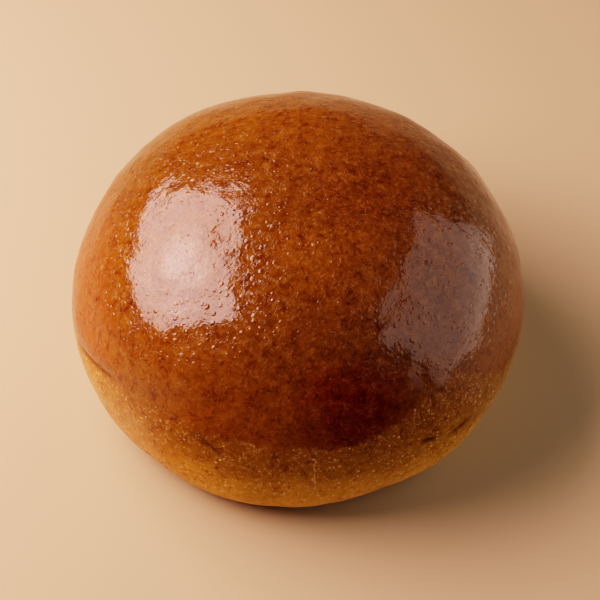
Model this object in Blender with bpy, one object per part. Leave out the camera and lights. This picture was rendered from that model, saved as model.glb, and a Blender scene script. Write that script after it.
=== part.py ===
"""A plump, egg-glazed brioche bun, baked whole and standing on its own flat base.

The bun is one solid. Its outline is a meridian made of three stretches: a dome down to the waist, a side that
tucks under below it, and the flat base. A subdivided ball is wrapped onto that meridian, so the triangles stay
even, and the crust then gets the relief that rising and baking leave: broad lumps, puckered folds where the
glazed cap meets the paler side, one split down the front, a few large blisters and an uneven foot.

Metres, +Z up, the front of the bun faces -Y, and the origin is the middle of the base.
"""

import math

import bmesh
import bpy
from mathutils import Matrix, Vector, noise

MM = 0.001

# Driving dimensions
WIDTH = 104 * MM  # across the waist
HEIGHT = 62 * MM  # from the base to the crown
WAIST_HEIGHT = 22 * MM  # the widest ring above the base
FOOT_WIDTH = 80 * MM  # across the flat base

# Meridian: polar angles of the ball that land on the waist and on the edge of the base
WAIST_POLAR = math.radians(90)
FOOT_POLAR = math.radians(128)
CROWN_FLATNESS = 2.0  # exponents of the dome's superellipse; 2 and 2 is an ellipse
SHOULDER_FULLNESS = 2.2

# The ball: its first edges are split in four more places, for about 8,000 even triangles
BALL_SUBDIVISIONS = 3
BALL_CUTS = 4

# Plan: the bun was proved by hand, so its rings are slightly out of round.
# Each wave is (lobes, share of the radius, degrees round from the front to a lobe).
PLAN_WAVES = ((2, 0.0087, 85), (3, 0.0085, 64), (4, 0.0033, 18))
FOOT_WAVES = ((2, 0.027, 163), (3, 0.019, 6), (4, 0.020, 47), (6, 0.012, 51), (11, 0.004, 8))

# Broad lumps of the crust: (wavelength, height)
LUMPS = ((34 * MM, 0.80 * MM), (15 * MM, 0.28 * MM), (8 * MM, 0.10 * MM))
LUMP_FADE = 9 * MM  # height over which the relief grows in from the base

# Folds at the lower edge of the cap: (degrees round from the front, height, half length, rise over that
# half length, half width, depth). Degrees count towards +X.
FOLDS = (
    (-61, 27.0 * MM, 10 * MM, 3.0 * MM, 1.6 * MM, 0.80 * MM),
    (-22, 26.2 * MM, 3.2 * MM, -2.4 * MM, 1.9 * MM, 0.65 * MM),
    (35.5, 22.8 * MM, 3.2 * MM, -1.2 * MM, 1.4 * MM, 0.65 * MM),
    (46, 20.0 * MM, 4.5 * MM, 0.3 * MM, 1.4 * MM, 0.70 * MM),
    (101, 26.0 * MM, 9 * MM, -1.2 * MM, 1.8 * MM, 0.65 * MM),
    (164, 25.0 * MM, 12 * MM, 1.5 * MM, 1.8 * MM, 0.60 * MM),
    (-133, 26.5 * MM, 8 * MM, 1.4 * MM, 1.7 * MM, 0.65 * MM),
)
FOLD_LIP = 0.45  # the crust that swells above a fold, as a share of the fold's depth

# The split in the pale side: it runs down from the cap to the foot
SPLIT_TOP = (3.8, 31 * MM)  # degrees round from the front, height
SPLIT_FOOT = (8.0, 4 * MM)
SPLIT_HALF_WIDTH = 1.2 * MM
SPLIT_DEPTH = 0.35 * MM

# Blisters: (degrees round from the front, height, radius, height of the blister)
BLISTERS = (
    (123, 36 * MM, 4.2 * MM, 0.95 * MM),
    (-96, 33 * MM, 3.4 * MM, 0.45 * MM),
    (60, 33 * MM, 3.6 * MM, 0.40 * MM),
    (-25, 31 * MM, 4.0 * MM, 0.45 * MM),
    (178, 47 * MM, 4.5 * MM, 0.50 * MM),
)

CRUST_COLOUR = (0.27, 0.066, 0.010, 1.0)
CRUST_ROUGHNESS = 0.28


def clear_scene():
    """Remove every object that the file opened with."""
    for obj in list(bpy.data.objects):
        bpy.data.objects.remove(obj)


def power(value, exponent):
    """A power of a number that rounding may leave just below zero."""
    return max(value, 0.0) ** exponent


def smooth_step(value):
    """0 below 0, 1 above 1, and an S-curve between."""
    t = min(max(value, 0.0), 1.0)
    return t * t * (3 - 2 * t)


def azimuth_of(point):
    """Angle round the bun, 0 at the front and growing towards +X."""
    return math.atan2(point.x, -point.y)


def turn_between(angle, other):
    """The signed turn from one angle to another, by the shorter way."""
    return (angle - other + math.pi) % (2 * math.pi) - math.pi


def waves(azimuth, table):
    """1 plus the sum of the table's waves, a factor for a radius."""
    return 1 + sum(share * math.cos(lobes * (azimuth - math.radians(lobe))) for lobes, share, lobe in table)


def on_meridian(polar):
    """Radius and height on the bun's meridian for a polar angle of the ball."""
    waist, foot = WIDTH / 2, FOOT_WIDTH / 2
    if polar <= WAIST_POLAR:
        radius = waist * power(math.sin(polar), 2 / SHOULDER_FULLNESS)
        rise = (HEIGHT - WAIST_HEIGHT) * power(math.cos(polar), 2 / CROWN_FLATNESS)
        return radius, WAIST_HEIGHT + rise
    if polar < FOOT_POLAR:
        quarter = math.pi / 2 * (polar - WAIST_POLAR) / (FOOT_POLAR - WAIST_POLAR)
        return foot + (waist - foot) * math.cos(quarter), WAIST_HEIGHT * (1 - math.sin(quarter))
    return foot * (math.pi - polar) / (math.pi - FOOT_POLAR), 0.0


def wrapped(direction):
    """The point of the plain bun, without relief, that a direction of the ball lands on."""
    polar = direction.angle(Vector((0, 0, 1)))
    azimuth = azimuth_of(direction)
    radius, height = on_meridian(polar)
    waist_share = smooth_step(height / WAIST_HEIGHT)
    radius *= waves(azimuth, PLAN_WAVES) * waist_share + waves(azimuth, FOOT_WAVES) * (1 - waist_share)
    return Vector((radius * math.sin(azimuth), -radius * math.cos(azimuth), height))


def lump_relief(point):
    """Broad unevenness of the risen dough."""
    return sum(
        height * noise.noise(point / wavelength, noise_basis="PERLIN_NEW") for wavelength, height in LUMPS
    )


def fold_relief(point):
    """Puckered folds: a groove with a swollen lip above it, fading out at both ends."""
    relief = 0.0
    for degrees, height, half_length, rise, half_width, depth in FOLDS:
        along = turn_between(azimuth_of(point), math.radians(degrees)) * WIDTH / 2 / half_length
        if abs(along) > 2:
            continue
        across = (point.z - height - rise * along) / half_width
        groove = math.exp(-across * across)
        lip = FOLD_LIP * math.exp(-((across - 2.2) / 1.6) ** 2)
        relief += depth * (lip - groove) * math.exp(-(along**4))
    return relief


def split_relief(point):
    """The shallow split that runs down the pale side."""
    (top_degrees, top), (foot_degrees, foot) = SPLIT_TOP, SPLIT_FOOT
    down = (top - point.z) / (top - foot)
    if not -0.1 < down < 1.15:
        return 0.0
    centre = math.radians(top_degrees + (foot_degrees - top_degrees) * down)
    across = turn_between(azimuth_of(point), centre) * WIDTH / 2 / SPLIT_HALF_WIDTH
    return -SPLIT_DEPTH * math.exp(-across * across) * smooth_step(4 * (down + 0.1))


def blister_relief(point):
    """The few blisters that are large enough to show in the outline."""
    relief = 0.0
    for degrees, height, radius, rise in BLISTERS:
        along = turn_between(azimuth_of(point), math.radians(degrees)) * point.xy.length
        away = math.hypot(along, point.z - height) / radius
        relief += rise * math.exp(-(away**2) * 2)
    return relief


def relief(point):
    """How far the crust stands out from the plain bun at a point. The base stays flat."""
    grown = smooth_step(point.z / LUMP_FADE)
    return grown * (lump_relief(point) + fold_relief(point) + split_relief(point) + blister_relief(point))


def bun_mesh():
    """The bun's closed mesh: a ball wrapped onto the meridian, with the relief pushed out along its normals."""
    form = bmesh.new()
    bmesh.ops.create_icosphere(form, subdivisions=BALL_SUBDIVISIONS, radius=1.0)
    bmesh.ops.subdivide_edges(form, edges=form.edges, cuts=BALL_CUTS, use_grid_fill=True)
    for vert in form.verts:
        vert.co = wrapped(vert.co.normalized())
    form.normal_update()
    moves = {vert: vert.normal * relief(vert.co) for vert in form.verts if vert.co.z > 0}
    for vert, move in moves.items():
        vert.co += move
    bmesh.ops.transform(form, matrix=to_middle_of_base(form), verts=form.verts)
    mesh = bpy.data.meshes.new("bun")
    form.to_mesh(mesh)
    form.free()
    mesh.shade_smooth()
    return mesh


def to_middle_of_base(form):
    """The move that puts the origin under the middle of the bun's box, level with its base."""
    middle = [
        (min(vert.co[axis] for vert in form.verts) + max(vert.co[axis] for vert in form.verts)) / 2
        for axis in (0, 1)
    ]
    return Matrix.Translation((-middle[0], -middle[1], 0))


def crust_material():
    """Egg-glazed crust, in the colour of its cap."""
    material = bpy.data.materials.new("glazed crust")
    material.use_nodes = True
    shader = material.node_tree.nodes["Principled BSDF"]
    shader.inputs["Base Color"].default_value = CRUST_COLOUR
    shader.inputs["Roughness"].default_value = CRUST_ROUGHNESS
    shader.inputs["Metallic"].default_value = 0.0
    return material


def main():
    """Build the bun in a collection of its own."""
    clear_scene()
    collection = bpy.data.collections.new("brioche bun")
    bpy.context.scene.collection.children.link(collection)
    bun = bpy.data.objects.new("bun", bun_mesh())
    bun.data.materials.append(crust_material())
    collection.objects.link(bun)


main()
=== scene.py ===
"""Looks of the brioche bun: its egg-glazed crust, its table, and the photograph's light and camera.

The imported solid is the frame. Its form is copied, made finer and given the crust's small relief.
The crust's colours are procedural. They read the bun's own coordinates, in metres: X runs across to the
right, Y along to the back and Z up from the table, so the front is -Y.
"""

from __future__ import annotations

import logging
import math
from dataclasses import dataclass
from enum import Enum
from typing import Any

import bmesh
import bpy
from mathutils import Matrix, Vector, noise

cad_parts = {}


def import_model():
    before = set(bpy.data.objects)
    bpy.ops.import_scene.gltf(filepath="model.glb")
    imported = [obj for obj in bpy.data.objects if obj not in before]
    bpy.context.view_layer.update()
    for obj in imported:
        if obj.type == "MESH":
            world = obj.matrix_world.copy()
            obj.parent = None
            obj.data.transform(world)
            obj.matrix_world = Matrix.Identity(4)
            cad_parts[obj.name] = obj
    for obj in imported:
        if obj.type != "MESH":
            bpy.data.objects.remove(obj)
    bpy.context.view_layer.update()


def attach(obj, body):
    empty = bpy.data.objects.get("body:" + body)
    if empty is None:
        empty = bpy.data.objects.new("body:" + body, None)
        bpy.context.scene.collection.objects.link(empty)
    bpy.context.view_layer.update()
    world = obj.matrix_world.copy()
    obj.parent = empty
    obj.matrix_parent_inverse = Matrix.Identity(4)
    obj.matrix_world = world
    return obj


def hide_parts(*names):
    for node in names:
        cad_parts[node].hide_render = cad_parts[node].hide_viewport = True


MM = 0.001
MICRON = 1e-6
LOG = logging.getLogger("bun")

Colour = tuple[float, float, float]
Place = tuple[float, float, float]
Tone = tuple[float, Colour]
Socket = bpy.types.NodeSocket

BACKDROP: Colour = (0.80, 0.39, 0.205)
BLACK: Colour = (0.0, 0.0, 0.0)

# The sockets of a colour Mix node, which share their names with those of its other data types
MIX_SHARE, MIX_BELOW, MIX_ABOVE = 0, 6, 7
MIX_RESULT = 2

# Name of each point's share of painted crease shade, which darkens the colour and thins the glaze
FOLD_SHADE_ATTRIBUTE = "fold_tone_and_shade"
WANDER_SIZE = 5 * MM  # width of one swell of the noise that makes a spot's edge wander

SMALLEST_SPECK = 0.5  # radius of the smallest speck, as a share of the middling one's
FIBRE_CURL = 0.9  # distortion of the noise that the strokes follow
FIBRE_CUTS = 0.8  # scale of the noise that cuts the strokes, as a share of the strokes' own
FIBRE_CUT_EDGE = 0.04  # how softly a stroke ends


class Blend(Enum):
    """How a colour is laid over another one."""

    MIX = "MIX"
    MULTIPLY = "MULTIPLY"


class Mark(Enum):
    """The kinds of small marks on the crust."""

    BLISTER = "blister"
    FLECK = "pale fleck"
    BEAD = "bead of glaze"
    PIT = "pinhole"
    STROKE = "curled fibre"
    # A crease's dark line: painted shade, with some of the crust's own darker colour
    FOLD_SHADE = "fold_tone_and_shade"


@dataclass(frozen=True)
class Fade:
    """A smooth step of a value: where it starts and ends, and what it gives before and after."""

    start: float
    end: float
    before: float = 0.0
    after: float = 1.0


@dataclass(frozen=True)
class Grain:
    """A soft noise between 0 and 1. Its size is the width of one swell, in metres."""

    size: float
    detail: float = 2.0
    roughness: float = 0.5
    distortion: float = 0.0


@dataclass(frozen=True)
class Swing:
    """A soft noise that goes about a third of its reach to each side of 0. Its size is in metres."""

    size: float
    reach: float


@dataclass(frozen=True)
class Spot:
    """A round patch of the crust, full out to its core and gone at its reach. Lengths are in metres.

    It may be squashed in height, and its edge may wander.
    """

    centre: Place
    reach: float
    core: float = 0.0
    squash: float = 1.0
    wander: float = 0.0


@dataclass(frozen=True)
class Specks:
    """Scattered round specks: their spacing in metres, the share kept, and their radius in spacings."""

    spacing: float
    share: float
    radius: float


@dataclass(frozen=True)
class Fibres:
    """Short curled strokes: a curl's width in metres, their half width in noise, and the share kept."""

    curl: float
    width: float
    share: float


class Shaderbench:
    """A bench for laying out shader nodes. Most of its methods give an output socket."""

    def __init__(self, tree: bpy.types.NodeTree) -> None:
        """Work on the node tree of a material, a light, a world or a group."""
        self.tree = tree

    def add(self, kind: str, **settings: Any) -> bpy.types.Node:
        """Add a node.

        Args:
            kind: the node's type name.
            settings: attributes to set on the node.

        Returns:
            The new node.
        """
        node = self.tree.nodes.new(kind)
        for name, value in settings.items():
            setattr(node, name, value)
        return node

    def feed(self, node: bpy.types.Node, **values: Any) -> bpy.types.Node:
        """Set or link a node's inputs.

        Args:
            node: the node.
            values: input names, with _ for each space, and what each takes: a socket or a plain value.

        Returns:
            The same node.
        """
        for name, value in values.items():
            self.into(node.inputs[name.replace("_", " ")], value)
        return node

    def into(self, socket: Socket, value: Any) -> None:
        """Link or set one input.

        Args:
            socket: the input.
            value: the output to link to it, or a plain value.
        """
        if isinstance(value, bpy.types.NodeSocket):
            self.tree.links.new(value, socket)
        elif isinstance(value, tuple) and len(value) == 3 and socket.type == "RGBA":
            socket.default_value = (*value, 1.0)
        else:
            socket.default_value = value

    def math(self, operation: str, *values: Any) -> Socket:
        """A Math node's result.

        Args:
            operation: the node's operation.
            values: up to three sockets or numbers.

        Returns:
            The result's socket.
        """
        node = self.add("ShaderNodeMath", operation=operation)
        for socket, value in zip(node.inputs, values):
            self.into(socket, value)
        return node.outputs[0]

    def vector(self, operation: str, *values: Any) -> bpy.types.bpy_prop_collection:
        """A Vector Math node's results.

        Args:
            operation: the node's operation.
            values: up to three sockets or vectors.

        Returns:
            The node's outputs, Vector and Value.
        """
        node = self.add("ShaderNodeVectorMath", operation=operation)
        for socket, value in zip(node.inputs, values):
            self.into(socket, value)
        return node.outputs

    def total(self, *values: Any) -> Socket:
        """Add values up.

        Args:
            values: sockets or numbers, at least two.

        Returns:
            The sum's socket.
        """
        result = values[0]
        for value in values[1:]:
            result = self.math("ADD", result, value)
        return result

    def product(self, *values: Any) -> Socket:
        """Multiply values.

        Args:
            values: sockets or numbers, at least two.

        Returns:
            The product's socket.
        """
        result = values[0]
        for value in values[1:]:
            result = self.math("MULTIPLY", result, value)
        return result

    def clipped(self, value: Any) -> Socket:
        """A value held between 0 and 1."""
        return self.feed(self.add("ShaderNodeClamp"), Value=value).outputs[0]

    def fade(self, value: Any, fade: Fade) -> Socket:
        """Carry a value through a smooth step.

        Args:
            value: the value to map.
            fade: the step.

        Returns:
            The mapped value's socket.
        """
        node = self.add("ShaderNodeMapRange", interpolation_type="SMOOTHSTEP")
        self.feed(node, Value=value, From_Min=fade.start, From_Max=fade.end)
        self.feed(node, To_Min=fade.before, To_Max=fade.after)
        return node.outputs[0]

    def mix(self, share: Any, below: Any, above: Any, blend: Blend = Blend.MIX) -> Socket:
        """Lay one colour over another.

        Args:
            share: how much of the upper colour shows.
            below: the lower colour.
            above: the upper colour.
            blend: how the two are blended.

        Returns:
            The mixed colour's socket.
        """
        node = self.add("ShaderNodeMix", data_type="RGBA", blend_type=blend.value)
        self.into(node.inputs[MIX_SHARE], share)
        self.into(node.inputs[MIX_BELOW], below)
        self.into(node.inputs[MIX_ABOVE], above)
        return node.outputs[MIX_RESULT]

    def ramp(self, height: Socket, tones: tuple[Tone, ...]) -> Socket:
        """A colour that changes with height.

        Args:
            height: the height, in metres.
            tones: heights with their colours, upwards.

        Returns:
            The colour's socket.
        """
        low, high = tones[0][0], tones[-1][0]
        node = self.add("ShaderNodeValToRGB")
        self.feed(node, Fac=self.math("DIVIDE", self.math("SUBTRACT", height, low), high - low))
        elements = node.color_ramp.elements
        while len(elements) < len(tones):
            elements.new(0.5)
        for element, (level, colour) in zip(elements, tones):
            element.position = (level - low) / (high - low)
            element.color = (*colour, 1.0)
        return node.outputs[0]


class CrustBench(Shaderbench):
    """The bench of the crust's material, which knows the bun's own coordinates."""

    def __init__(self, tree: bpy.types.NodeTree) -> None:
        """Work on the crust's material.

        Args:
            tree: the material's node tree.
        """
        super().__init__(tree)
        self.place = self.add("ShaderNodeTexCoord").outputs["Object"]
        parts = self.feed(self.add("ShaderNodeSeparateXYZ"), Vector=self.place)
        self.across, self.along, self.height = parts.outputs

    def grain(self, grain: Grain) -> Socket:
        """Soft noise over the crust.

        Args:
            grain: the noise.

        Returns:
            The noise value's socket, between 0 and 1.
        """
        node = self.add("ShaderNodeTexNoise")
        self.feed(node, Vector=self.place, Scale=1 / grain.size, Detail=grain.detail)
        self.feed(node, Roughness=grain.roughness, Distortion=grain.distortion)
        return node.outputs[0]

    def swing(self, swing: Swing) -> Socket:
        """Soft noise over the crust that goes to both sides of 0."""
        return self.math("MULTIPLY", self.math("SUBTRACT", self.grain(Grain(swing.size)), 0.5), swing.reach)

    def bent(self, wander: float) -> Socket:
        """The bun's coordinates, shifted about by soft noise.

        Args:
            wander: the noise's whole reach, in metres. It goes about a third of that each way.

        Returns:
            The coordinates' socket.
        """
        shift = self.feed(self.add("ShaderNodeTexNoise"), Vector=self.place, Scale=1 / WANDER_SIZE)
        moved = self.vector("MULTIPLY_ADD", shift.outputs["Color"], (wander, wander, wander), self.place)
        return self.vector("SUBTRACT", moved["Vector"], (wander / 2, wander / 2, wander / 2))["Vector"]

    def near(self, spot: Spot) -> Socket:
        """How far a point lies within a spot.

        Args:
            spot: the spot.

        Returns:
            A value's socket: 1 within the spot's core, falling smoothly to 0 at its reach.
        """
        place = self.bent(spot.wander) if spot.wander else self.place
        squash = (1.0, 1.0, spot.squash)
        squashed = self.vector("MULTIPLY", place, squash)["Vector"]
        centre = tuple(side * share for side, share in zip(spot.centre, squash))
        away = self.vector("DISTANCE", squashed, centre)["Value"]
        return self.fade(away, Fade(spot.reach, spot.core))

    def specks(self, group: bpy.types.NodeTree, specks: Specks) -> Socket:
        """Scatter specks over the crust.

        Args:
            group: the group that makes them.
            specks: which specks they are.

        Returns:
            A value's socket: 1 in a speck's middle, falling to 0 at its edge.
        """
        node = self.add("ShaderNodeGroup", node_tree=group)
        self.feed(node, Place=self.place, Scale=1 / specks.spacing, Share=specks.share, Radius=specks.radius)
        return node.outputs["Dome"]

    def fibres(self, group: bpy.types.NodeTree, fibres: Fibres) -> Socket:
        """Strew fibres over the crust.

        Args:
            group: the group that makes them.
            fibres: which fibres they are.

        Returns:
            A value's socket: 1 along a stroke, falling to 0 beside it.
        """
        node = self.add("ShaderNodeGroup", node_tree=group)
        self.feed(node, Place=self.place, Scale=1 / fibres.curl, Width=fibres.width, Share=fibres.share)
        return node.outputs["Stroke"]


def make_group(name: str, inputs: tuple[str, ...], output: str) -> bpy.types.NodeTree:
    """A new shader node group with its sockets.

    Args:
        name: the group's name.
        inputs: names of its number inputs. It also takes a Place.
        output: the name of its number output.

    Returns:
        The group, still empty.
    """
    group = bpy.data.node_groups.new(name, "ShaderNodeTree")
    group.interface.new_socket("Place", in_out="INPUT", socket_type="NodeSocketVector")
    for socket_name in inputs:
        group.interface.new_socket(socket_name, in_out="INPUT", socket_type="NodeSocketFloat")
    group.interface.new_socket(output, in_out="OUTPUT", socket_type="NodeSocketFloat")
    return group


def speck_group() -> bpy.types.NodeTree:
    """Group of scattered round specks: it finds the nearest of some random points and keeps a share of them.

    Returns:
        The group. Dome is 1 in a speck's middle and falls to 0 at its edge.
    """
    group = make_group("Scattered specks", ("Scale", "Share", "Radius"), "Dome")
    bench = Shaderbench(group)
    given = bench.add("NodeGroupInput").outputs
    cells = bench.add("ShaderNodeTexVoronoi", feature="F1")
    bench.feed(cells, Vector=given["Place"], Scale=given["Scale"])
    pick = bench.feed(bench.add("ShaderNodeSeparateColor"), Color=cells.outputs["Color"])
    size = bench.math("MULTIPLY", given["Radius"], bench.math("ADD", SMALLEST_SPECK, pick.outputs["Green"]))
    away = bench.math("DIVIDE", cells.outputs["Distance"], size)
    dome = bench.math("MAXIMUM", bench.math("SUBTRACT", 1.0, bench.math("MULTIPLY", away, away)), 0.0)
    kept = bench.math("LESS_THAN", pick.outputs["Red"], given["Share"])
    bench.feed(bench.add("NodeGroupOutput"), Dome=bench.math("MULTIPLY", dome, kept))
    return group


def fibre_group() -> bpy.types.NodeTree:
    """Group of short curled strokes: lines where bent noise crosses its middle, which other noise cuts up.

    Returns:
        The group. Stroke is 1 along a stroke and falls to 0 beside it.
    """
    group = make_group("Curled fibres", ("Scale", "Width", "Share"), "Stroke")
    bench = Shaderbench(group)
    given = bench.add("NodeGroupInput").outputs
    bent = bench.add("ShaderNodeTexNoise")
    bench.feed(bent, Vector=given["Place"], Scale=given["Scale"], Detail=1.0, Distortion=FIBRE_CURL)
    away = bench.math("ABSOLUTE", bench.math("SUBTRACT", bent.outputs[0], 0.5))
    line = bench.fade(bench.math("DIVIDE", away, given["Width"]), Fade(1.0, 0.0))
    cutter = bench.add("ShaderNodeTexNoise")
    cuts = bench.math("MULTIPLY", given["Scale"], FIBRE_CUTS)
    bench.feed(cutter, Vector=given["Place"], Scale=cuts, Detail=0.0)
    edge = bench.math("SUBTRACT", 1.0, given["Share"])
    past = bench.math("SUBTRACT", cutter.outputs[0], edge)
    piece = bench.fade(past, Fade(-FIBRE_CUT_EDGE, FIBRE_CUT_EDGE))
    bench.feed(bench.add("NodeGroupOutput"), Stroke=bench.math("MULTIPLY", line, piece))
    return group


@dataclass(frozen=True)
class GlazedCrust:
    """The finish of the whole bun: a red-brown glazed cap over a paler, duller side.

    Lengths are in metres, and heights count up from the table. A fade named left, right, back or front runs
    towards that side.
    """

    # Tones of the cap and the side, by height
    cap_tones: tuple[Tone, ...] = (
        (22 * MM, (0.170, 0.0570, 0.0030)),
        (31 * MM, (0.114, 0.0355, 0.0014)),
        (38 * MM, (0.088, 0.0285, 0.0011)),
        (48 * MM, (0.066, 0.0230, 0.0009)),
    )
    side_tones: tuple[Tone, ...] = (
        (5 * MM, (0.710, 0.405, 0.0950)),
        (12 * MM, (0.475, 0.260, 0.0280)),
        (20 * MM, (0.235, 0.120, 0.0065)),
        (27 * MM, (0.160, 0.070, 0.0025)),
        (34 * MM, (0.118, 0.043, 0.0015)),
    )

    # The height that the tones are read at: lower down on the left, and uneven
    bake_swing: Swing = Swing(12 * MM, 9 * MM)
    bake_left: Fade = Fade(-8 * MM, -44 * MM, 0.0, -9 * MM)
    bake_left_to_back: Fade = Fade(5 * MM, 35 * MM, 1.0, 0.2)
    bake_right: Fade = Fade(12 * MM, 36 * MM, 0.0, 0.5 * MM)

    # The line between cap and side, softer on the left. Where a reach is below 0, the cap ends higher up
    cap_line: float = 30.0 * MM
    cap_swings: tuple[Swing, ...] = (Swing(16 * MM, 4 * MM), Swing(2.6 * MM, 4 * MM))
    cap_reaches: tuple[Fade, ...] = (
        Fade(18 * MM, 29 * MM, 0.0, -5 * MM),
        Fade(36 * MM, 48 * MM, 0.0, 11 * MM),
        Fade(-40 * MM, -50 * MM, 0.0, 4 * MM),
    )
    cap_sharpness: Fade = Fade(-8 * MM, -34 * MM, 1 / (0.9 * MM), 1 / (3.5 * MM))
    cap_edge: Fade = Fade(-1.0, 1.0)

    # Colours laid over the cap
    amber: Colour = (0.124, 0.0440, 0.0014)
    amber_patches: Grain = Grain(22 * MM)
    amber_patch_share: Fade = Fade(0.42, 0.72, 0.0, 0.35)
    amber_left: Fade = Fade(8 * MM, -30 * MM, 0.0, 0.28)
    amber_back: Fade = Fade(10 * MM, 30 * MM, 0.0, 0.55)
    amber_top: Fade = Fade(36 * MM, 50 * MM)
    amber_spots: tuple[tuple[Spot, float], ...] = (
        (Spot((1 * MM, -21 * MM, 59 * MM), 11 * MM), 0.45),
        (Spot((2 * MM, 12 * MM, 61 * MM), 16 * MM), 0.25),
    )
    # A darker patch to the right of the crown, multiplied over the cap's colour
    crown_right_darkening: Colour = (0.72, 0.64, 0.60)
    crown_right_dark_spot: Spot = Spot((16 * MM, -2 * MM, 60 * MM), 18 * MM, 4 * MM, wander=6 * MM)
    burnt: Colour = (0.070, 0.0020, 0.0008)
    burnt_spot: Spot = Spot((13 * MM, -46 * MM, 36.5 * MM), 18 * MM, 4 * MM, wander=8 * MM)
    flush: Colour = (1.40, 0.90, 0.80)
    flush_left: Fade = Fade(-36 * MM, -50 * MM)

    # Colours laid over the side
    blush: Colour = (0.82, 0.56, 0.46)
    blush_left: Fade = Fade(-8 * MM, -40 * MM)
    fleck: Colour = (0.95, 0.72, 0.300)
    fleck_share: Fade = Fade(30 * MM, 10 * MM, 0.4, 0.8)
    fuzz_share: Fade = Fade(24 * MM, 6 * MM, 0.2, 0.6)

    # The thin pale seam down the front of the side
    seam: Colour = (0.58, 0.42, 0.160)
    seam_share: float = 0.8
    seam_course: Fade = Fade(17 * MM, 4 * MM, -3.6 * MM, -6.4 * MM)
    seam_swing: Swing = Swing(1.5 * MM, 3 * MM)
    seam_width: Fade = Fade(0.30 * MM, 0.0)
    seam_top: Fade = Fade(30 * MM, 26 * MM)
    seam_front: Fade = Fade(-25 * MM, -35 * MM)
    seam_gaps: Grain = Grain(1.2 * MM)
    seam_gap_edge: Fade = Fade(0.38, 0.52)

    # Mottling of the whole crust
    mottle: Grain = Grain(2.4 * MM, 4.5, 0.88, 0.4)
    shade: Colour = (0.50, 0.33, 0.30)
    shade_share: Fade = Fade(0.51, 0.35)
    haze: Colour = (0.24, 0.120, 0.022)
    haze_share: Fade = Fade(0.50, 0.70, 0.0, 0.32)
    fibre_haze: float = 0.22
    blister: Colour = (0.24, 0.11, 0.025)
    blister_share: float = 0.7
    # The creases' dark line: painted shade, with some of the crust's own darker colour
    fold_tone_and_shade: Colour = (0.035, 0.011, 0.0015)

    # Small marks. The beads thin out in the pool of smooth glaze
    blisters: Specks = Specks(3.4 * MM, 0.10, 0.14)
    flecks: Specks = Specks(1.1 * MM, 0.30, 0.24)
    beads: Specks = Specks(1.45 * MM, 0.60, 0.33)
    pool_spot: Spot = Spot((-27 * MM, -15 * MM, 54 * MM), 16 * MM, 8 * MM)
    pool_beads: Fade = Fade(0.0, 1.0, 1.0, 0.12)
    pits: Grain = Grain(0.62 * MM, 0.0, 0.5, 0.8)
    pit_edge: Fade = Fade(0.30, 0.25)
    pit_clusters: Grain = Grain(5 * MM)
    pit_cluster_edge: Fade = Fade(0.50, 0.62)
    curls: Fibres = Fibres(1.0 * MM, 0.05, 0.5)

    # Fine relief
    ripples: tuple[tuple[Grain, float], ...] = (
        (Grain(1.5 * MM, 2.0, 0.5, 0.6), 75 * MICRON),
        (Grain(0.5 * MM, 1.0), 14 * MICRON),
    )
    mark_heights: tuple[tuple[Mark, float], ...] = (
        (Mark.BLISTER, 90 * MICRON),
        (Mark.BEAD, 95 * MICRON),
        (Mark.FLECK, 10 * MICRON),
        (Mark.STROKE, 12 * MICRON),
        (Mark.PIT, -30 * MICRON),
    )

    # The dull crust, and the glaze on it. The glaze is thinner on the right but thick at the right edge, thin
    # low down, and almost gone where the front is dry, in pits and in folds
    dullness: float = 0.62
    dull_swing: Swing = Swing(3 * MM, 0.2)
    bare_gloss: float = 0.0
    glaze: float = 0.80
    glaze_ior: float = 1.54
    glaze_roughness: float = 0.05
    dry_spot: Spot = Spot((3 * MM, -50 * MM, 22 * MM), 46 * MM, 27 * MM, 1.4)
    dry_glaze: Fade = Fade(0.0, 1.0, 1.0, 0.05)
    flank_glaze: tuple[Fade, ...] = (Fade(8 * MM, 28 * MM, 1.0, 0.86), Fade(32 * MM, 46 * MM, 0.0, 0.38))
    low_glaze: Fade = Fade(10 * MM, 22 * MM, 0.5, 1.0)
    glaze_grain: Grain = Grain(0.9 * MM, 3.0, 0.9)
    glaze_patches: Fade = Fade(0.3, 0.7, 0.82, 1.12)
    pit_glaze: Fade = Fade(0.0, 1.0, 1.0, 0.1)
    fold_glaze: Fade = Fade(0.0, 0.6, 1.0, 0.1)

    def material(self) -> bpy.types.Material:
        """Build the crust's material.

        Returns:
            The material.
        """
        material = bpy.data.materials.new("glazed crust")
        material.use_nodes = True
        material.node_tree.nodes.clear()
        bench = CrustBench(material.node_tree)
        cap = self._cap_mask(bench)
        marks = self._marks(bench)
        relief = self._relief(bench, marks)
        shader = bench.add("ShaderNodeBsdfPrincipled")
        bench.feed(
            shader,
            Base_Color=self._colour(bench, cap, marks),
            Roughness=bench.total(bench.swing(self.dull_swing), self.dullness),
            Specular_IOR_Level=self.bare_gloss,
            Normal=relief,
            Coat_Weight=self._coat(bench, marks),
            Coat_IOR=self.glaze_ior,
            Coat_Roughness=self.glaze_roughness,
            Coat_Normal=relief,
        )
        bench.feed(bench.add("ShaderNodeOutputMaterial"), Surface=shader.outputs[0])
        return material

    def _cap_mask(self, bench: CrustBench) -> Socket:
        """Part the cap from the side by a wandering, ragged line.

        Args:
            bench: the material's bench.

        Returns:
            A value's socket: 1 on the glazed cap and 0 on the side.
        """
        line = bench.total(
            bench.height,
            *(bench.swing(swing) for swing in self.cap_swings),
            *(bench.fade(bench.across, reach) for reach in self.cap_reaches),
        )
        sharpness = bench.fade(bench.across, self.cap_sharpness)
        past = bench.product(bench.math("SUBTRACT", line, self.cap_line), sharpness)
        return bench.fade(past, self.cap_edge)

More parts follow.
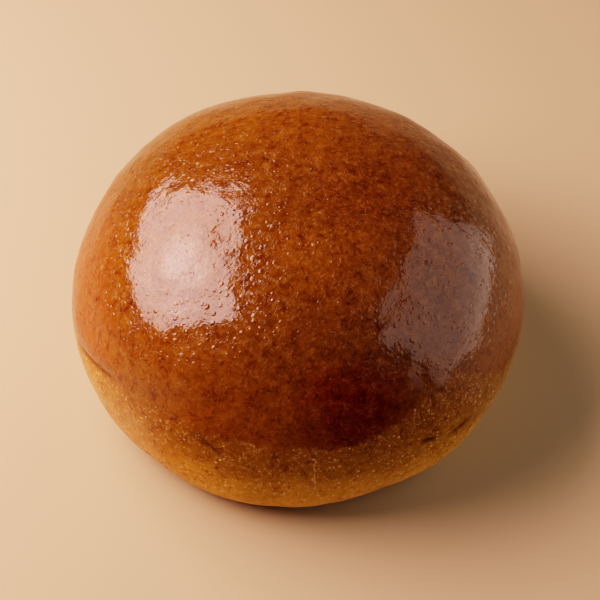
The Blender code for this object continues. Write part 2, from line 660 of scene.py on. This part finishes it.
    def _marks(self, bench: CrustBench) -> dict[Mark, Socket]:
        """Lay out the small marks.

        Args:
            bench: the material's bench.

        Returns:
            For each kind of mark, a value's socket that is 1 in a mark's middle and 0 off it.
        """
        specks = speck_group()
        return {
            Mark.BLISTER: bench.specks(specks, self.blisters),
            Mark.FLECK: bench.specks(specks, self.flecks),
            Mark.BEAD: bench.product(
                bench.specks(specks, self.beads),
                bench.fade(bench.near(self.pool_spot), self.pool_beads),
            ),
            Mark.PIT: bench.product(
                bench.fade(bench.grain(self.pits), self.pit_edge),
                bench.fade(bench.grain(self.pit_clusters), self.pit_cluster_edge),
            ),
            Mark.STROKE: bench.fibres(fibre_group(), self.curls),
            Mark.FOLD_SHADE: bench.add("ShaderNodeAttribute", attribute_name=FOLD_SHADE_ATTRIBUTE).outputs["Fac"],
        }

    def _bake_height(self, bench: CrustBench) -> Socket:
        """Find the height that the tones are read at.

        Args:
            bench: the material's bench.

        Returns:
            The height's socket.
        """
        left = bench.fade(bench.across, self.bake_left)
        return bench.total(
            bench.height,
            bench.swing(self.bake_swing),
            bench.product(left, bench.fade(bench.along, self.bake_left_to_back)),
            bench.fade(bench.across, self.bake_right),
        )

    def _cap_colour(self, bench: CrustBench, bake: Socket) -> Socket:
        """Colour the cap: its tones, with amber patches, a darker patch right of the crown and a burnt spot
        in front.

        Args:
            bench: the material's bench.
            bake: the height that the tones are read at.

        Returns:
            The colour's socket.
        """
        amber = bench.total(
            bench.fade(bench.grain(self.amber_patches), self.amber_patch_share),
            bench.fade(bench.across, self.amber_left),
            bench.product(bench.fade(bench.along, self.amber_back), bench.fade(bench.height, self.amber_top)),
            *(bench.product(bench.near(spot), share) for spot, share in self.amber_spots),
        )
        colour = bench.mix(bench.clipped(amber), bench.ramp(bake, self.cap_tones), self.amber)
        colour = bench.mix(bench.near(self.crown_right_dark_spot), colour, self.crown_right_darkening, Blend.MULTIPLY)
        colour = bench.mix(bench.near(self.burnt_spot), colour, self.burnt)
        return bench.mix(bench.fade(bench.across, self.flush_left), colour, self.flush, Blend.MULTIPLY)

    def _side_colour(self, bench: CrustBench, bake: Socket) -> Socket:
        """Colour the side: its tones, darker and redder on the left.

        Args:
            bench: the material's bench.
            bake: the height that the tones are read at.

        Returns:
            The colour's socket.
        """
        blush = bench.fade(bench.across, self.blush_left)
        return bench.mix(blush, bench.ramp(bake, self.side_tones), self.blush, Blend.MULTIPLY)

    def _colour(self, bench: CrustBench, cap: Socket, marks: dict[Mark, Socket]) -> Socket:
        """Colour the crust.

        Args:
            bench: the material's bench.
            cap: 1 on the cap and 0 on the side.
            marks: the small marks.

        Returns:
            The colour's socket.
        """
        bake = self._bake_height(bench)
        colour = bench.mix(cap, self._side_colour(bench, bake), self._cap_colour(bench, bake))
        mottle = bench.grain(self.mottle)
        colour = bench.mix(bench.fade(mottle, self.shade_share), colour, self.shade, Blend.MULTIPLY)
        fibres = bench.product(marks[Mark.STROKE], self.fibre_haze)
        hazy = bench.total(bench.fade(mottle, self.haze_share), fibres)
        colour = bench.mix(bench.clipped(hazy), colour, self.haze)
        bare = bench.math("SUBTRACT", 1.0, cap)
        flecked = bench.product(marks[Mark.FLECK], bare, bench.fade(bench.height, self.fleck_share))
        colour = bench.mix(flecked, colour, self.fleck)
        fuzz = bench.product(marks[Mark.STROKE], bare, bench.fade(bench.height, self.fuzz_share))
        colour = bench.mix(fuzz, colour, self.fleck)
        colour = bench.mix(bench.product(self._seam(bench), self.seam_share), colour, self.seam)
        colour = bench.mix(bench.product(marks[Mark.BLISTER], self.blister_share), colour, self.blister)
        # Painted shade in the creases, with some of the crust's own darker colour
        return bench.mix(marks[Mark.FOLD_SHADE], colour, self.fold_tone_and_shade)

    def _seam(self, bench: CrustBench) -> Socket:
        """Lay out the seam.

        Args:
            bench: the material's bench.

        Returns:
            A value's socket: 1 along the seam and 0 beside it.
        """
        course = bench.fade(bench.height, self.seam_course)
        away = bench.math("ABSOLUTE", bench.total(bench.across, course, bench.swing(self.seam_swing)))
        return bench.product(
            bench.fade(away, self.seam_width),
            bench.fade(bench.height, self.seam_top),
            bench.fade(bench.along, self.seam_front),
            bench.fade(bench.grain(self.seam_gaps), self.seam_gap_edge),
        )

    def _coat(self, bench: CrustBench, marks: dict[Mark, Socket]) -> Socket:
        """Spread the glaze.

        Args:
            bench: the material's bench.
            marks: the small marks.

        Returns:
            A value's socket: how much glaze lies on the crust.
        """
        return bench.product(
            self.glaze,
            bench.fade(bench.near(self.dry_spot), self.dry_glaze),
            bench.total(*(bench.fade(bench.across, fade) for fade in self.flank_glaze)),
            bench.fade(bench.height, self.low_glaze),
            bench.fade(bench.grain(self.glaze_grain), self.glaze_patches),
            bench.fade(marks[Mark.PIT], self.pit_glaze),
            bench.fade(marks[Mark.FOLD_SHADE], self.fold_glaze),
        )

    def _relief(self, bench: CrustBench, marks: dict[Mark, Socket]) -> Socket:
        """Raise the fine relief.

        Args:
            bench: the material's bench.
            marks: the small marks.

        Returns:
            The bumped normal's socket.
        """
        height = bench.total(
            *(bench.product(bench.grain(grain), rise) for grain, rise in self.ripples),
            *(bench.product(marks[mark], rise) for mark, rise in self.mark_heights),
        )
        return bench.feed(bench.add("ShaderNodeBump"), Strength=1.0, Distance=1.0, Height=height).outputs[0]


@dataclass(frozen=True)
class Crease:
    """A groove in the crust, where the dough folded or split. It runs round the bun and may rise on its way.

    Degrees count round from the front towards +X. Lengths are in metres. The shade is how dark its line is,
    from 0 to 1: the line is painted shade in the groove, with some of the crust's own darker colour. The ends
    are where it has faded out, in half lengths.
    """

    degrees: float
    height: float
    half_length: float
    rise: float
    half_width: float
    depth: float
    shade: float
    ends: float = 1.8

    def closeness(self, point: Vector) -> float:
        """How near a point is to the crease.

        Args:
            point: a place on the crust.

        Returns:
            1 on the crease's line, falling to 0 beside it and past its ends.
        """
        turn = math.atan2(point.x, -point.y) - math.radians(self.degrees)
        turn = (turn + math.pi) % (2 * math.pi) - math.pi
        along = turn * point.xy.length / self.half_length
        if abs(along) > self.ends:
            return 0.0
        across = (point.z - self.height - self.rise * along) / self.half_width
        return math.exp(-across * across - along**4)


@dataclass
class Bun:
    """The bun itself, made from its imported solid. Lengths are in metres."""

    node: str = "bun"
    finish: GlazedCrust = GlazedCrust()

    # The base is one flat face, which gets even rings round its edge
    merge: float = 1e-5
    flat_angle: float = math.radians(0.5)
    base_ring: float = 1.6 * MM
    base_rings: int = 4

    # Subdivision, and smoothing that starts a little above the base
    levels: int = 2
    smoothing: int = 12
    smoothing_share: float = 0.5
    smoothed_above: float = 0.5 * MM

    # Small swells, as (width, height), and sharp creases, which both start a little above the base
    swelling_above: float = 0.3 * MM
    swells: tuple[tuple[float, float], ...] = ((7 * MM, 0.20 * MM), (3.4 * MM, 0.08 * MM))
    creases: tuple[Crease, ...] = (
        Crease(-61, 27.0 * MM, 9 * MM, 3.0 * MM, 1.0 * MM, 0.12 * MM, 0.5),
        Crease(-22, 26.2 * MM, 3.2 * MM, -2.4 * MM, 0.8 * MM, 0.20 * MM, 0.8),
        Crease(23.6, 6.5 * MM, 2.5 * MM, -0.4 * MM, 0.8 * MM, 0.20 * MM, 0.8),
        Crease(34.0, 22.8 * MM, 2.2 * MM, -0.6 * MM, 0.8 * MM, 0.25 * MM, 1.0),
        Crease(43.5, 20.5 * MM, 3.4 * MM, 0.3 * MM, 0.9 * MM, 0.25 * MM, 0.8),
        Crease(101, 26.0 * MM, 7 * MM, -1.0 * MM, 0.8 * MM, 0.12 * MM, 0.5),
        Crease(164, 25.0 * MM, 9 * MM, 1.2 * MM, 0.8 * MM, 0.12 * MM, 0.4),
        Crease(-133, 26.5 * MM, 7 * MM, 1.2 * MM, 0.8 * MM, 0.12 * MM, 0.5),
    )

    def build(self) -> bpy.types.Object:
        """Make the bun's piece.

        Returns:
            The finished object, riding on the root body.
        """
        mesh = self._finer(self._form())
        form = bmesh.new()
        form.from_mesh(mesh)
        self._settle(form)
        self._swell(form)
        form.to_mesh(mesh)
        form.free()
        mesh.name = "crust"
        mesh.shade_smooth()
        piece = bpy.data.objects.new("crust", mesh)
        bpy.context.scene.collection.objects.link(piece)
        piece.data.materials.append(self.finish.material())
        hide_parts(self.node)
        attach(piece, "root")
        return piece

    def _form(self) -> bmesh.types.BMesh:
        """Copy the solid as a closed form, with even rings round the edge of its base.

        Returns:
            The form.
        """
        form = bmesh.new()
        form.from_mesh(bpy.data.objects[self.node].data)
        bmesh.ops.remove_doubles(form, verts=form.verts, dist=self.merge)
        form.normal_update()
        base = [face for face in form.faces if face.normal.z < -math.cos(self.flat_angle)]
        floor = bmesh.ops.dissolve_faces(form, faces=base)["region"][0]
        for _ in range(self.base_rings):
            floor = bmesh.ops.extrude_discrete_faces(form, faces=[floor])["faces"][0]
            reach = max(vert.co.xy.length for vert in floor.verts)
            shrink = Matrix.Diagonal((1 - self.base_ring / reach, 1 - self.base_ring / reach, 1))
            bmesh.ops.transform(form, matrix=shrink.to_4x4(), verts=floor.verts)
        bmesh.ops.poke(form, faces=[floor])
        return form

    def _finer(self, form: bmesh.types.BMesh) -> bpy.types.Mesh:
        """Subdivide a form.

        Args:
            form: the form, which is used up.

        Returns:
            A fine smooth mesh.
        """
        coarse = bpy.data.meshes.new("coarse")
        form.to_mesh(coarse)
        form.free()
        holder = bpy.data.objects.new("coarse", coarse)
        bpy.context.scene.collection.objects.link(holder)
        subdivision = holder.modifiers.new("finer", "SUBSURF")
        subdivision.levels = subdivision.render_levels = self.levels
        graph = bpy.context.evaluated_depsgraph_get()
        fine = bpy.data.meshes.new_from_object(holder.evaluated_get(graph))
        bpy.data.objects.remove(holder)
        bpy.data.meshes.remove(coarse)
        return fine

    def _settle(self, form: bmesh.types.BMesh) -> None:
        """Relax the points above the base, so that no facet of the solid shows in the glaze.

        Args:
            form: the fine form.
        """
        above = [vert for vert in form.verts if vert.co.z > self.smoothed_above]
        axes = {"use_axis_x": True, "use_axis_y": True, "use_axis_z": True}
        for _ in range(self.smoothing):
            bmesh.ops.smooth_vert(form, verts=above, factor=self.smoothing_share, **axes)

    def _swell(self, form: bmesh.types.BMesh) -> None:
        """Push the crust in and out along its normals, and note on each point the painted shade of the
        creases: how near it lies to one, times how dark that one's line is.

        Args:
            form: the fine form.
        """
        layer = form.verts.layers.float.new(FOLD_SHADE_ATTRIBUTE)
        form.normal_update()
        for vert in form.verts:
            if vert.co.z < self.swelling_above:
                continue
            height = sum(rise * noise.noise(vert.co / size) for size, rise in self.swells)
            for crease in self.creases:
                closeness = crease.closeness(vert.co)
                height -= crease.depth * closeness
                vert[layer] = max(vert[layer], crease.shade * closeness)
            vert.co += vert.normal * height


@dataclass(frozen=True)
class TablePaint:
    """Matt pale paint. Away from the bun it glows softly instead, and so stays pale out to the horizon."""

    colour: Colour = (0.384, 0.345, 0.209)
    roughness: float = 0.7
    gloss: float = 0.0
    glow: Colour = BACKDROP
    glow_fade: Fade = Fade(0.15, 0.27)

    def material(self) -> bpy.types.Material:
        """Build the paint's material.

        Returns:
            The material.
        """
        material = bpy.data.materials.new("table paint")
        material.use_nodes = True
        bench = Shaderbench(material.node_tree)
        place = bench.add("ShaderNodeTexCoord").outputs["Object"]
        far = bench.fade(bench.vector("LENGTH", place)["Value"], self.glow_fade)
        bench.feed(
            material.node_tree.nodes["Principled BSDF"],
            Base_Color=bench.mix(far, self.colour, BLACK),
            Roughness=self.roughness,
            Specular_IOR_Level=self.gloss,
            Emission_Color=bench.mix(far, BLACK, self.glow),
            Emission_Strength=1.0,
        )
        return material


@dataclass
class Table:
    """The plain table top, a wide round board. Its radius is in metres."""

    radius: float = 12.0
    sides: int = 64
    finish: TablePaint = TablePaint()

    def build(self) -> bpy.types.Object:
        """Make the table top.

        Returns:
            The table top.
        """
        form = bmesh.new()
        bmesh.ops.create_circle(form, cap_ends=True, segments=self.sides, radius=self.radius)
        mesh = bpy.data.meshes.new("table")
        form.to_mesh(mesh)
        form.free()
        table = bpy.data.objects.new("table", mesh)
        bpy.context.scene.collection.objects.link(table)
        table.data.materials.append(self.finish.material())
        return table


@dataclass(frozen=True)
class Softbox:
    """A rectangular light that faces the bun. Lengths are in metres.

    Azimuth counts round from the front towards +X and elevation up from the table, both in radians. A bulb
    adds its share of brightness in one patch, whose place is in shares of the light's sides. The patch's
    radius is an angle in radians, as seen from the bun.
    """

    name: str
    azimuth: float
    elevation: float
    distance: float
    width: float
    height: float
    radiance: float
    tint: Colour
    bulb: float = 0.0
    bulb_place: tuple[float, float] = (0.5, 0.5)
    bulb_radius: float = 0.2
    target: Place = (0.0, -10 * MM, 40 * MM)

    def build(self) -> bpy.types.Object:
        """Make the light and aim it at its target.

        Returns:
            The light.
        """
        data = bpy.data.lights.new(self.name, "AREA")
        data.shape = "RECTANGLE"
        data.size = self.width
        data.size_y = self.height
        data.energy = self.radiance * math.pi * self.width * self.height
        data.color = self.tint
        if self.bulb:
            self._glow(data)
        light = bpy.data.objects.new(self.name, data)
        bpy.context.scene.collection.objects.link(light)
        level = math.cos(self.elevation)
        way = (level * math.sin(self.azimuth), -level * math.cos(self.azimuth), math.sin(self.elevation))
        out = Vector(way)
        light.location = Vector(self.target) + out * self.distance
        light.rotation_euler = out.to_track_quat("Z", "Y").to_euler()
        light.visible_camera = False
        return light

    def _glow(self, data: bpy.types.AreaLight) -> None:
        """Make the diffuser brighter in front of its bulb, fading out evenly around it.

        Args:
            data: the light's data.
        """
        data.use_nodes = True
        bench = Shaderbench(data.node_tree)
        spot = bench.add("ShaderNodeSeparateXYZ")
        bench.feed(spot, Vector=bench.add("ShaderNodeNewGeometry").outputs["Parametric"])
        squares = []
        for side, middle, size in zip(spot.outputs, self.bulb_place, (self.width, self.height)):
            away = bench.math("SUBTRACT", side, middle)
            away = bench.math("MULTIPLY", away, size / self.distance / self.bulb_radius)
            squares.append(bench.math("MULTIPLY", away, away))
        falloff = bench.math("EXPONENT", bench.math("MULTIPLY", bench.total(*squares), -1.0))
        strength = bench.math("MULTIPLY_ADD", falloff, self.bulb, 1.0)
        bench.feed(data.node_tree.nodes["Emission"], Strength=strength)


@dataclass(frozen=True)
class Room:
    """The space round the table: dim, with a pale backdrop along the horizon that shows but casts no light.

    The crust mirrors only a low stretch of the backdrop, at the back right. The fades of that stretch go by
    the upward, rightward and backward shares of a direction.
    """

    dimness: Colour = (0.010, 0.009, 0.008)
    backdrop: Colour = BACKDROP
    mirrored_up: Fade = Fade(0.22, 0.0)
    mirrored_right: Fade = Fade(-0.1, 0.5)
    mirrored_back: Fade = Fade(0.0, 0.5)

    def build(self) -> bpy.types.World:
        """Make the world and use it for the scene.

        Returns:
            The world.
        """
        world = bpy.data.worlds.new("room")
        world.use_nodes = True
        bench = Shaderbench(world.node_tree)
        way = bench.add("ShaderNodeSeparateXYZ")
        bench.feed(way, Vector=bench.add("ShaderNodeTexCoord").outputs["Generated"])
        path = bench.add("ShaderNodeLightPath")
        seen = bench.math("SUBTRACT", 1.0, path.outputs["Is Diffuse Ray"])
        right, back, up = way.outputs
        mirrored = bench.product(
            bench.fade(up, self.mirrored_up),
            bench.fade(right, self.mirrored_right),
            bench.fade(back, self.mirrored_back),
        )
        share = bench.product(seen, bench.math("MAXIMUM", mirrored, path.outputs["Is Camera Ray"]))
        colour = bench.mix(share, self.dimness, self.backdrop)
        bench.feed(world.node_tree.nodes["Background"], Color=colour, Strength=1.0)
        bpy.context.scene.world = world
        return world


@dataclass(frozen=True)
class Studio:
    """The photograph's light: a large key on the left, a little to the back, and a dim panel on the right."""

    key: Softbox = Softbox(
        name="key",
        azimuth=math.radians(-106),
        elevation=math.radians(42.1),
        distance=0.277,
        width=0.340,
        height=0.237,
        radiance=17.3,
        tint=(1.0, 0.48, 0.415),
        bulb=1.2,
        bulb_place=(0.62, 0.5),
    )
    panel: Softbox = Softbox(
        name="side panel",
        azimuth=math.radians(89),
        elevation=math.radians(17),
        distance=0.26,
        width=0.335,
        height=0.255,
        radiance=2.0,
        tint=(1.0, 0.66, 0.58),
    )
    room: Room = Room()
    transform: str = "Filmic"
    look: str = "Medium High Contrast"

    def build(self) -> list[bpy.types.ID]:
        """Set up the lights, the room and the way light becomes colour.

        Returns:
            The lights and the world.
        """
        made = [self.key.build(), self.panel.build(), self.room.build()]
        bpy.context.scene.view_settings.view_transform = self.transform
        bpy.context.scene.view_settings.look = self.look
        return made


@dataclass(frozen=True)
class Viewpoint:
    """The photograph's camera. Lengths are in metres, and the picture's width and shift in pixels."""

    target: Place = (0.0, 0.0, 28 * MM)
    elevation: float = math.radians(50)
    distance: float = 0.65
    pixels_per_radian: float = 2813.0
    picture_width: float = 600.0
    shift: tuple[float, float] = (1.6, 23.5)
    sensor_mm: float = 36.0
    near_clip: float = 10 * MM

    def build(self) -> bpy.types.Object:
        """Make the camera and use it for the scene.

        Returns:
            The camera.
        """
        data = bpy.data.cameras.new("camera")
        data.sensor_width = self.sensor_mm
        data.lens = self.sensor_mm * self.pixels_per_radian / self.picture_width
        data.shift_x = self.shift[0] / self.picture_width
        data.shift_y = -self.shift[1] / self.picture_width
        data.clip_start = self.near_clip
        camera = bpy.data.objects.new("camera", data)
        bpy.context.scene.collection.objects.link(camera)
        back = Vector((0, -math.cos(self.elevation), math.sin(self.elevation)))
        camera.location = Vector(self.target) + back * self.distance
        camera.rotation_euler = back.to_track_quat("Z", "Y").to_euler()
        bpy.context.scene.camera = camera
        return camera


def main() -> None:
    """Build the scene in order."""
    logging.basicConfig(level=logging.INFO, format="%(name)s: %(message)s")
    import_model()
    camera = Viewpoint().build()
    piece = Bun().build()
    LOG.info("%s: %d faces", piece.name, len(piece.data.polygons))
    for made in (camera, Table().build(), *Studio().build()):
        LOG.info("%s: built", made.name)


if __name__ == "__main__":
    main()
